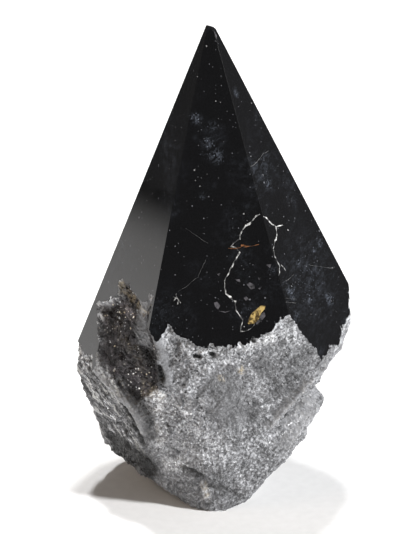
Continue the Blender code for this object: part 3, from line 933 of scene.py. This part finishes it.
class NodeSheet:
    """Short ways to add and join shader nodes."""

    def __init__(self, material):
        material.use_nodes = True
        self.tree = material.node_tree
        self.shader = self.tree.nodes["Principled BSDF"]

    def add(self, kind, **settings):
        """A new node of a kind, with its settings."""
        node = self.tree.nodes.new("ShaderNode" + kind)
        for name, value in settings.items():
            setattr(node, name, value)
        return node

    def join(self, output, target):
        """Links an output to an input."""
        self.tree.links.new(output, target)

    def place(self):
        """Position on the stone, in metres."""
        return self.add("TexCoord").outputs["Object"]

    def attribute(self, name):
        """A value that the stone's points carry."""
        return self.add("Attribute", attribute_name=name).outputs["Fac"]

    def stretched(self, place, direction, length):
        """Position drawn out along a direction, so that noise in it makes streaks."""
        mapping = self.add("Mapping", vector_type="TEXTURE")
        mapping.inputs["Rotation"].default_value = Vector(direction).to_track_quat("Z", "Y").to_euler()
        mapping.inputs["Scale"].default_value = (1.0, 1.0, length)
        self.join(place, mapping.inputs["Vector"])
        return mapping.outputs["Vector"]

    def nearness(self, place, spot, reach):
        """1 at a spot given in millimetres, falling to 0 at its reach."""
        away = self.add("VectorMath", operation="DISTANCE")
        self.join(place, away.inputs[0])
        away.inputs[1].default_value = Vector(spot) / MM_PER_METRE
        return self.remap(away.outputs["Value"], reach / MM_PER_METRE, 0.0)

    def noise(self, place, size, detail=2.0, roughness=0.5, distortion=0.0):
        """Soft noise whose grains are about size millimetres wide."""
        node = self.add("TexNoise")
        node.inputs["Scale"].default_value = MM_PER_METRE / size
        node.inputs["Detail"].default_value = detail
        node.inputs["Roughness"].default_value = roughness
        node.inputs["Distortion"].default_value = distortion
        self.join(place, node.inputs["Vector"])
        return node.outputs["Fac"]

    def cells(self, place, size, feature="F1", randomness=1.0):
        """Random cells about size millimetres wide."""
        node = self.add("TexVoronoi", feature=feature)
        node.inputs["Scale"].default_value = MM_PER_METRE / size
        node.inputs["Randomness"].default_value = randomness
        self.join(place, node.inputs["Vector"])
        return node

    def remap(self, value, low, high, to_low=0.0, to_high=1.0):
        """A value moved from one range to another, with soft ends."""
        node = self.add("MapRange", interpolation_type="SMOOTHSTEP")
        node.inputs["From Min"].default_value = low
        node.inputs["From Max"].default_value = high
        node.inputs["To Min"].default_value = to_low
        node.inputs["To Max"].default_value = to_high
        self.join(value, node.inputs["Value"])
        return node.outputs["Result"]

    def ramp(self, value, stops):
        """Colours along a value, as (position, grey or colour) stops."""
        node = self.add("ValToRGB")
        ramp = node.color_ramp
        while len(ramp.elements) < len(stops):
            ramp.elements.new(0.5)
        for element, (position, colour) in zip(ramp.elements, stops):
            element.position = position
            element.color = full_colour(colour)
        self.join(value, node.inputs["Fac"])
        return node.outputs["Color"]

    def mix(self, share, first, second, blend="MIX"):
        """The second colour laid over the first by a share."""
        node = self.add("Mix", data_type="RGBA", blend_type=blend)
        self.feed(share, node.inputs[0])
        self.feed(first, node.inputs[6])
        self.feed(second, node.inputs[7])
        return node.outputs[2]

    def combine(self, operation, first, second):
        """Two values joined by one operation of the Math node."""
        node = self.add("Math", operation=operation)
        self.feed(first, node.inputs[0])
        self.feed(second, node.inputs[1])
        return node.outputs[0]

    def brighten(self, colour, share):
        """A colour times a share that is never quite nothing."""
        node = self.add("VectorMath", operation="SCALE")
        self.join(colour, node.inputs[0])
        self.join(self.combine("MAXIMUM", share, DARKEST_SHARE), node.inputs["Scale"])
        return node.outputs[0]

    def feed(self, value, target):
        """Joins an output, or sets a plain number or colour."""
        if isinstance(value, bpy.types.NodeSocket):
            self.join(value, target)
        elif isinstance(value, (int, float)):
            target.default_value = value
        else:
            target.default_value = full_colour(value)

    def bump(self, height, strength, distance_mm, normal=None):
        """Normals that follow a height."""
        node = self.add("Bump")
        node.inputs["Strength"].default_value = strength
        node.inputs["Distance"].default_value = distance_mm / MM_PER_METRE
        self.join(height, node.inputs["Height"])
        if normal is not None:
            self.join(normal, node.inputs["Normal"])
        return node.outputs["Normal"]


def full_colour(colour):
    """A grey or a colour as red, green, blue and alpha."""
    if isinstance(colour, (int, float)):
        return (colour, colour, colour, 1.0)
    return (*tuple(colour)[:3], 1.0)


def glitter_normal(sheet, place, size, strength):
    """Normals that lean another way in each small cell, so that single cells flash."""
    cells = sheet.cells(place, size)
    centred = sheet.add("VectorMath", operation="SUBTRACT")
    centred.inputs[1].default_value = (0.5, 0.5, 0.5)
    sheet.join(cells.outputs["Color"], centred.inputs[0])
    lean = sheet.add("VectorMath", operation="SCALE")
    lean.inputs["Scale"].default_value = strength
    sheet.join(centred.outputs[0], lean.inputs[0])
    total = sheet.add("VectorMath", operation="ADD")
    sheet.join(sheet.add("NewGeometry").outputs["Normal"], total.inputs[0])
    sheet.join(lean.outputs[0], total.inputs[1])
    unit = sheet.add("VectorMath", operation="NORMALIZE")
    sheet.join(total.outputs[0], unit.inputs[0])
    return unit.outputs[0]


def scaled(colour, share):
    """A colour made darker or brighter."""
    return [value * share for value in colour]


def grain_colour(sheet, place, colour):
    """Grey stone with grains and streaks of many sizes."""
    mottle = sheet.noise(place, 3.0, detail=5.0, roughness=0.6)
    grey = sheet.ramp(mottle, ((0.32, scaled(colour, 0.62)), (0.50, colour), (0.70, scaled(colour, 1.45))))
    fine = sheet.noise(place, 0.5, detail=4.0, roughness=0.8)
    grey = sheet.mix(1.0, grey, sheet.ramp(fine, ((0.38, 0.42), (0.50, 0.9), (0.64, 1.9))), "MULTIPLY")
    hackles = sheet.noise(sheet.stretched(place, FRONT_STREAKS, 4.0), 0.5, detail=3.0, roughness=0.7)
    return sheet.mix(1.0, grey, sheet.ramp(hackles, ((0.36, 0.65), (0.50, 1.0), (0.66, 1.6))), "MULTIPLY")


def flank_streaks(sheet, place, colour):
    """Light and dark streaks that slant down the left flank."""
    place_x = sheet.add("SeparateXYZ")
    sheet.join(place, place_x.inputs[0])
    on_flank = sheet.remap(place_x.outputs[0], FLANK_END / MM_PER_METRE, FLANK_START / MM_PER_METRE)
    hackles = sheet.noise(sheet.stretched(place, FLANK_STREAKS, 5.0), 0.9, detail=4.0, roughness=0.7)
    streaks = sheet.ramp(hackles, ((0.42, 0.12), (0.51, 0.80), (0.58, 1.2)))
    bright = sheet.remap(hackles, 0.56, 0.62, 0.0, 0.7)
    streaked = sheet.mix(1.0, colour, streaks, "MULTIPLY")
    streaked = sheet.mix(bright, streaked, (0.60, 0.60, 0.58))
    return sheet.mix(on_flank, colour, streaked)


def scattered_dots(sheet, place, size, radius, share):
    """Small round dots in some of the cells of a random net; share says in how many."""
    cells = sheet.cells(place, size)
    dot = sheet.remap(cells.outputs["Distance"], radius, radius * 0.4)
    lucky = sheet.add("SeparateColor")
    sheet.join(cells.outputs["Color"], lucky.inputs[0])
    chosen = sheet.remap(lucky.outputs[0], 1.0 - share, 1.0 - share * 0.6)
    return sheet.combine("MULTIPLY", dot, chosen)


def dots_of_two_nets(sheet, place, nets):
    """The dots of two nets together."""
    first, second = (scattered_dots(sheet, place, *net) for net in nets)
    return sheet.combine("MAXIMUM", first, second)


def hollow_colouring(sheet, place, colours):
    """The hollow's dark lining with brown stains, and pale yellow grains whose sparkle is painted in."""
    lining = sheet.noise(place, 0.9, detail=5.0, roughness=0.75)
    colour = sheet.ramp(lining, (
        (0.36, scaled(colours.hollow_colour, 0.25)),
        (0.50, colours.hollow_colour),
        (0.68, scaled(colours.hollow_colour, 4.0)),
    ))
    # painted glints: pale yellow dots in patches stand for the sparkle of the hollow's grains
    painted_glint_dots = dots_of_two_nets(sheet, place, HOLLOW_DOTS)
    patches = sheet.remap(sheet.noise(place, 2.6, detail=3.0, roughness=0.7), 0.44, 0.56)
    hue = sheet.noise(place, 1.0)
    white, yellow = scaled(colours.frost_colour, 1.4), scaled(colours.ochre_colour, 1.6)
    pale = sheet.ramp(hue, ((0.45, white), (0.62, yellow)))
    return sheet.mix(sheet.combine("MULTIPLY", painted_glint_dots, patches), colour, pale)


def frosted(sheet, place, colour, frost_colour, tone):
    """Crushed pale grain, most of it near the polish and in the pale zones."""
    grain = sheet.noise(place, 0.65, detail=4.0, roughness=0.8)
    near_polish = sheet.combine("MULTIPLY", sheet.attribute("border"), 0.10)
    more = sheet.combine("ADD", near_polish, sheet.combine("MULTIPLY", tone, 0.06))
    frost = sheet.remap(sheet.combine("ADD", grain, more), 0.56, 0.68)
    return sheet.mix(sheet.combine("MULTIPLY", frost, 0.8), colour, frost_colour)


def sparkling(sheet, place, colour, frost_colour, tone):
    """Single pale grains whose sparkle is painted in, most of them in the pale zones."""
    # painted glints: pale dots in the base colour stand for the sparkle of the grains
    grains = dots_of_two_nets(sheet, place, BREAK_DOTS)
    strength = sheet.combine("ADD", sheet.combine("MULTIPLY", tone, 0.8), 0.15)
    return sheet.mix(sheet.combine("MULTIPLY", grains, strength), colour, scaled(frost_colour, 1.3))


def stained(sheet, place, colour, ochre_colour):
    """The yellow stain of the ochre zones."""
    stain = sheet.remap(sheet.noise(place, 0.8, detail=3.0, roughness=0.7), 0.40, 0.62)
    stain = sheet.combine("MULTIPLY", stain, sheet.attribute("ochre"))
    return sheet.mix(stain, colour, ochre_colour)


def make_break(colours):
    """The broken stone: grey and glittering, frosted along the polish, brown-black in the hollow."""
    material = bpy.data.materials.new("broken tourmaline")
    sheet = NodeSheet(material)
    place = sheet.place()
    tone = sheet.attribute("tone")
    calm = sheet.attribute("calm")

    grey = grain_colour(sheet, place, colours.break_colour)
    grey = frosted(sheet, place, grey, colours.frost_colour, tone)
    grey = flank_streaks(sheet, place, grey)
    grey = sparkling(sheet, place, grey, colours.frost_colour, tone)
    grey = sheet.mix(sheet.combine("MULTIPLY", calm, 0.8), grey, scaled(colours.break_colour, 1.25))

    in_hollow = sheet.combine("MULTIPLY", sheet.attribute("hollow"), sheet.combine("SUBTRACT", 1.0, calm))
    colour = sheet.mix(in_hollow, grey, hollow_colouring(sheet, place, colours))
    colour = sheet.brighten(colour, sheet.combine("ADD", sheet.combine("MULTIPLY", tone, 0.9), 1.0))
    colour = stained(sheet, place, colour, colours.ochre_colour)
    sheet.join(colour, sheet.shader.inputs["Base Color"])

    gloss = sheet.remap(sheet.noise(place, 0.7, detail=2.0), 0.35, 0.65, 0.22, 0.55)
    gloss = sheet.combine("ADD", gloss, sheet.combine("MULTIPLY", in_hollow, 0.35))
    sheet.join(gloss, sheet.shader.inputs["Roughness"])
    sheet.shader.inputs["IOR"].default_value = colours.index_of_refraction
    sheet.shader.inputs["Specular IOR Level"].default_value = BREAK_SHINE
    normal = glitter_normal(sheet, place, 0.30, 0.7)
    grains = sheet.noise(place, 0.3, detail=3.0, roughness=0.7)
    sheet.join(sheet.bump(grains, 0.5, 0.12, normal), sheet.shader.inputs["Normal"])
    return material


def veil_density(sheet, place):
    """How dense the milky veils are, from 0 to 1."""
    veil = None
    for spot, reach, density in VEILS:
        near = sheet.combine("MULTIPLY", sheet.nearness(place, spot, reach * VEIL_FADE), density)
        veil = near if veil is None else sheet.combine("MAXIMUM", veil, near)
    return veil


def make_polish(colours):
    """The ground faces: almost black and glossy, with milky veils and tiny flecks inside."""
    material = bpy.data.materials.new("polished tourmaline")
    sheet = NodeSheet(material)
    place = sheet.place()

    veil = veil_density(sheet, place)
    haze = sheet.remap(sheet.noise(place, 10.0, detail=3.0, roughness=0.6), 0.48, 0.75, 0.0, 0.30)
    drawn_out = sheet.stretched(place, VEIL_DRIFT, 2.2)
    wisps = sheet.remap(sheet.noise(drawn_out, 0.9, detail=8.0, roughness=0.85, distortion=0.6), 0.46, 0.66)
    shown = sheet.combine("MULTIPLY", sheet.combine("ADD", veil, haze), wisps)
    colour = sheet.mix(shown, colours.polish_colour, colours.veil_colour)
    points = sheet.combine("MULTIPLY", scattered_dots(sheet, place, *VEIL_DOTS), veil)
    colour = sheet.mix(points, colour, scaled(colours.veil_colour, 1.8))

    for net in POLISH_DOTS:
        dots = sheet.combine("MULTIPLY", scattered_dots(sheet, place, *net), 0.35)
        colour = sheet.mix(dots, colour, colours.dot_colour)
    sheet.join(colour, sheet.shader.inputs["Base Color"])

    smear = sheet.remap(sheet.noise(place, 3.5, detail=3.0), 0.35, 0.70, 0.03, 0.05)
    sheet.join(smear, sheet.shader.inputs["Roughness"])
    sheet.shader.inputs["IOR"].default_value = colours.index_of_refraction
    sheet.shader.inputs["Specular IOR Level"].default_value = POLISH_SHINE
    return material


def make_speckled(name, dark, light, grain, roughness, index, turn=(0.36, 0.60)):
    """A plain mineral with grain; turn says between which noise values its dark turns light."""
    material = bpy.data.materials.new(name)
    sheet = NodeSheet(material)
    place = sheet.place()
    value = sheet.noise(place, grain, detail=3.0, roughness=0.7)
    sheet.join(sheet.ramp(value, ((turn[0], dark), (turn[1], light))), sheet.shader.inputs["Base Color"])
    sheet.shader.inputs["Roughness"].default_value = roughness
    sheet.shader.inputs["IOR"].default_value = index
    return material


def make_materials(colours):
    """The stone's materials in the order of SLOTS."""
    index = colours.index_of_refraction
    black = colours.polish_colour
    made = {
        "break": make_break(colours),
        "polish": make_polish(colours),
        "edge": make_speckled("worn edge", black, 0.06, 0.5, 0.10, index, (0.62, 0.74)),
        "sawn": make_speckled("sawn foot", 0.03, 0.12, 0.6, 0.65, index),
        "vein": make_speckled("white vein", 0.05, colours.vein_colour, 0.7, 0.35, index, (0.44, 0.62)),
        "crack": make_speckled("hair crack", 0.01, 0.11, 0.9, 0.30, index),
        "gold": make_speckled(
            "golden inclusion", (0.05, 0.03, 0.01), colours.gold_colour, 0.6, 0.25, index, (0.44, 0.58)
        ),
        "fleck": make_speckled("grey fleck", 0.015, (0.10, 0.095, 0.105), 0.5, 0.25, index),
        "speck": make_speckled("pale speck", 0.16, 0.42, 0.5, 0.25, index),
        "glow": make_speckled("amber line", (0.02, 0.008, 0.004), colours.glow_colour, 0.8, 0.15, index),
    }
    return [made[name] for name in SLOTS]


def length_property(name, about, default):
    """A length in millimetres, which Blender keeps in metres."""
    return bpy.props.FloatProperty(
        name=name,
        description=about,
        default=default / MM_PER_METRE,
        min=0.0,
        max=10.0 / MM_PER_METRE,
        precision=5,
        unit="LENGTH",
    )


def share_property(name, about, default):
    """A share from 0 to 1."""
    return bpy.props.FloatProperty(
        name=name, description=about, default=default, min=0.0, max=1.0, subtype="FACTOR"
    )


def colour_property(name, about, default):
    """A colour that the user may change."""
    return bpy.props.FloatVectorProperty(
        name=name, description=about, default=default, size=3, min=0.0, max=1.0, subtype="COLOR"
    )


def stage_length(name, about, default, low=0.0):
    """A length of the stage in metres."""
    return bpy.props.FloatProperty(name=name, description=about, default=default, min=low, unit="LENGTH")


def power_property(name, about, default):
    """A lamp's power in watts."""
    return bpy.props.FloatProperty(name=name, description=about, default=default, min=0.0, unit="POWER")


class TourmalineSizes(bpy.types.PropertyGroup):
    """Sizes of the grain, the border and the wear."""

    facet_size: length_property("Facet size", "Width of the facets of the break", 1.7)
    facet_tilt: share_property("Facet tilt", "How much the facets lean", 0.30)
    grain_size: length_property("Grain size", "Width of the small grains of the break", 0.75)
    grain_tilt: share_property("Grain tilt", "How much the small grains lean", 0.42)
    crumb_size: length_property("Crumb size", "Width of the finest crumbs of the break", 0.32)
    crumb_height: length_property("Crumb height", "Height of the finest crumbs", 0.16)
    pit_size: length_property("Pit size", "Distance between pits", 1.5)
    pit_depth: length_property("Pit depth", "Depth of the pits", 0.7)
    sink: length_property("Sink", "How far the grain lies inside the frame", 0.05)
    lift_slope: share_property("Lift slope", "How steeply the lump leaves the ground faces", 0.55)
    lift_limit: length_property("Lift limit", "How far the lump stands over the ground faces", 3.0)
    edge_wear: length_property("Edge wear", "Depth of the wear along the ground edges", 0.008)


def plain_sizes(settings):
    """The sizes as plain numbers, with their lengths in millimetres."""
    plain = SimpleNamespace()
    for name in type(settings).__annotations__:
        value = getattr(settings, name)
        if settings.bl_rna.properties[name].unit == "LENGTH":
            value = round(value * MM_PER_METRE, 6)
        setattr(plain, name, value)
    return plain


class TourmalineColours(bpy.types.PropertyGroup):
    """Colours of the stone and what lies in it."""

    polish_colour: colour_property("Polish", "The polished stone", (0.003, 0.003, 0.0035))
    veil_colour: colour_property("Veil", "Milky veils inside the polished stone", (0.12, 0.135, 0.165))
    dot_colour: colour_property("Dots", "Tiny pale dots", (0.45, 0.46, 0.50))
    break_colour: colour_property("Break", "The broken stone", (0.165, 0.167, 0.175))
    frost_colour: colour_property("Frost", "Crushed pale grains on the break", (0.55, 0.56, 0.58))
    hollow_colour: colour_property("Hollow", "The hollow's lining", (0.0205, 0.0188, 0.0205))
    ochre_colour: colour_property("Ochre", "Yellowish grains", (0.42, 0.36, 0.26))
    vein_colour: colour_property("Vein", "The white vein", (0.80, 0.80, 0.78))
    gold_colour: colour_property("Gold", "The golden inclusion", (0.50, 0.36, 0.13))
    glow_colour: colour_property("Glow", "The amber line", (0.26, 0.11, 0.045))
    index_of_refraction: bpy.props.FloatProperty(
        name="Index of refraction",
        description="How much the stone bends light",
        default=1.64,
        min=1.0,
        max=3.0,
    )


class TourmalineStage(bpy.types.PropertyGroup):
    """The floor, the lights and the camera."""

    floor_left: stage_length("Floor to the left", "From the stone's middle", 0.60)
    floor_right: stage_length("Floor to the right", "From the stone's middle", 0.22)
    floor_front: stage_length("Floor to the front", "From the stone's middle", 0.40)
    floor_back: stage_length("Floor to the back", "From the stone's middle", 0.31)
    # The floor's far end is greyed by painted shade over this length.
    floor_fade: stage_length("Floor shade length", "Length of the far end greyed by painted shade", 0.09, 0.001)
    key_power: power_property("Key light", "Power of the lamp above", 4.3)
    second_power: power_property("Second light", "Power of the other lamp above", 2.8)
    side_power: power_property("Side light", "Power of the lamp at the right", 12.4)
    warm_power: power_property("Warm light", "Power of the faint lamp at the left", 0.6)
    room_light: bpy.props.FloatProperty(
        name="Room light", description="Brightness of the room in reflections", default=0.11, min=0.0
    )
    camera_distance: stage_length("Camera distance", "From the stone's middle", 0.75)
    camera_elevation: bpy.props.FloatProperty(
        name="Camera elevation",
        description="Angle above the floor",
        default=math.radians(25.0),
        subtype="ANGLE",
    )
    frame_height: stage_length("Frame height", "Height of the view at the stone", 0.0856, 0.001)
    aim_height: stage_length("Aim height", "Height of the point the camera looks at", 0.03756)


class TOURMALINE_OT_stone(bpy.types.Operator):
    """Builds the stone on the frame"""

    bl_idname = "tourmaline.stone"
    bl_label = "Build the Stone"

    def execute(self, context):
        shape = stone_shape(plain_sizes(context.scene.tourmaline_sizes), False)
        keep_in_box(shape)
        bmesh.ops.transform(shape, matrix=Matrix.Scale(1.0 / MM_PER_METRE, 4), verts=shape.verts)
        mesh = bpy.data.meshes.new("stone")
        shape.to_mesh(mesh)
        shape.free()
        if not mesh.polygons:
            raise RuntimeError("the stone came out empty")
        for material in make_materials(context.scene.tourmaline_colours):
            mesh.materials.append(material)
        stone = bpy.data.objects.new("stone", mesh)
        context.scene.collection.objects.link(stone)
        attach(stone, "root")
        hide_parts(CAD_NODE)
        return {"FINISHED"}


def add_floor(settings):
    """A sheet of matt white paper, greyed at its far end by painted shade, where the picture doesn't show
    it.
    """
    left, right = -settings.floor_left, settings.floor_right
    front, back = -settings.floor_front, settings.floor_back
    corners = [(left, front, 0.0), (right, front, 0.0), (right, back, 0.0), (left, back, 0.0)]
    mesh = bpy.data.meshes.new("floor")
    mesh.from_pydata(corners, [], [(0, 1, 2, 3)])
    material = bpy.data.materials.new("white paper")
    sheet = NodeSheet(material)
    fibre = sheet.noise(sheet.place(), 1.4, detail=3.0)
    paper = sheet.ramp(fibre, ((0.3, 0.875), (0.7, 0.915)))
    depth = sheet.add("SeparateXYZ")
    sheet.join(sheet.place(), depth.inputs[0])
    # painted shade: the paper darkens towards its back edge
    near = sheet.remap(depth.outputs[1], back, back - settings.floor_fade)
    sheet.join(sheet.brighten(paper, near), sheet.shader.inputs["Base Color"])
    sheet.shader.inputs["Roughness"].default_value = 0.9
    sheet.shader.inputs["Specular IOR Level"].default_value = 0.1
    mesh.materials.append(material)
    floor = bpy.data.objects.new("floor", mesh)
    bpy.context.scene.collection.objects.link(floor)


def add_lamp(name, power, size, away, distance, colour=(1.0, 1.0, 1.0)):
    """A square soft lamp that looks at the stone from one direction."""
    light = bpy.data.lights.new(name, "AREA")
    light.shape = "SQUARE"
    light.size = size
    light.energy = power
    light.color = colour
    lamp = bpy.data.objects.new(name, light)
    bpy.context.scene.collection.objects.link(lamp)
    away = Vector(away).normalized()
    lamp.location = LAMP_AIM + away * distance
    lamp.rotation_euler = (-away).to_track_quat("-Z", "Y").to_euler()


def add_room(settings):
    """White behind the stone, and a dim room in its reflections."""
    world = bpy.data.worlds.new("room")
    bpy.context.scene.world = world
    world.use_nodes = True
    tree = world.node_tree
    tree.nodes.clear()
    seen = tree.nodes.new("ShaderNodeBackground")
    seen.inputs["Color"].default_value = (1.0, 1.0, 1.0, 1.0)
    felt = tree.nodes.new("ShaderNodeBackground")
    felt.inputs["Color"].default_value = (1.0, 1.0, 1.0, 1.0)
    felt.inputs["Strength"].default_value = settings.room_light
    ray = tree.nodes.new("ShaderNodeLightPath")
    both = tree.nodes.new("ShaderNodeMixShader")
    out = tree.nodes.new("ShaderNodeOutputWorld")
    tree.links.new(ray.outputs["Is Camera Ray"], both.inputs[0])
    tree.links.new(felt.outputs[0], both.inputs[1])
    tree.links.new(seen.outputs[0], both.inputs[2])
    tree.links.new(both.outputs[0], out.inputs["Surface"])


def add_camera(settings):
    """A long lens in front of the stone, a little above it."""
    data = bpy.data.cameras.new("camera")
    data.sensor_fit = "AUTO"
    data.sensor_width = SENSOR_WIDTH
    data.lens = SENSOR_WIDTH * settings.camera_distance / settings.frame_height
    data.dof.use_dof = False
    data.clip_start = 0.01
    data.clip_end = 10.0
    camera = bpy.data.objects.new("camera", data)
    bpy.context.scene.collection.objects.link(camera)
    rise = settings.camera_elevation
    away = Vector((0.0, -math.cos(rise), math.sin(rise)))
    camera.location = Vector((0.0, 0.0, settings.aim_height)) + away * settings.camera_distance
    camera.rotation_euler = (-away).to_track_quat("-Z", "Y").to_euler()
    bpy.context.scene.camera = camera


class TOURMALINE_OT_stage(bpy.types.Operator):
    """Puts a white floor, soft light and a camera round the stone"""

    bl_idname = "tourmaline.stage"
    bl_label = "Build the Stage"

    def execute(self, context):
        settings = context.scene.tourmaline_stage
        add_floor(settings)
        add_room(settings)
        add_lamp("above", settings.key_power, size=0.05, away=(-0.13, 0.3, 1.0), distance=0.8)
        add_lamp("second above", settings.second_power, size=0.07, away=(0.03, 0.3, 1.0), distance=0.8)
        add_lamp("right", settings.side_power, size=0.07, away=(0.86, -0.33, 0.47), distance=0.9)
        add_lamp(
            "left",
            settings.warm_power,
            size=0.30,
            away=(-0.77, -0.28, 0.57),
            distance=0.6,
            colour=(1.0, 0.80, 0.62),
        )
        add_camera(settings)
        context.scene.view_settings.view_transform = "Standard"
        return {"FINISHED"}


class TOURMALINE_PT_sidebar(bpy.types.Panel):
    """The stone's and the stage's settings"""

    bl_label = "Tourmaline Point"
    bl_idname = "TOURMALINE_PT_sidebar"
    bl_space_type = "VIEW_3D"
    bl_region_type = "UI"
    bl_category = "Tourmaline"

    def draw(self, context):
        for group in (
            context.scene.tourmaline_sizes,
            context.scene.tourmaline_colours,
            context.scene.tourmaline_stage,
        ):
            box = self.layout.box()
            for name in type(group).__annotations__:
                box.prop(group, name)
        self.layout.operator(TOURMALINE_OT_stone.bl_idname)
        self.layout.operator(TOURMALINE_OT_stage.bl_idname)


CLASSES = (
    TourmalineSizes,
    TourmalineColours,
    TourmalineStage,
    TOURMALINE_OT_stone,
    TOURMALINE_OT_stage,
    TOURMALINE_PT_sidebar,
)


def register():
    for item in CLASSES:
        bpy.utils.register_class(item)
    bpy.types.Scene.tourmaline_sizes = bpy.props.PointerProperty(type=TourmalineSizes)
    bpy.types.Scene.tourmaline_colours = bpy.props.PointerProperty(type=TourmalineColours)
    bpy.types.Scene.tourmaline_stage = bpy.props.PointerProperty(type=TourmalineStage)


def unregister():
    del bpy.types.Scene.tourmaline_stage
    del bpy.types.Scene.tourmaline_colours
    del bpy.types.Scene.tourmaline_sizes
    for item in reversed(CLASSES):
        bpy.utils.unregister_class(item)


def main():
    register()
    bpy.ops.tourmaline.stone()
    bpy.ops.tourmaline.stage()


if __name__ == "__main__":
    main()
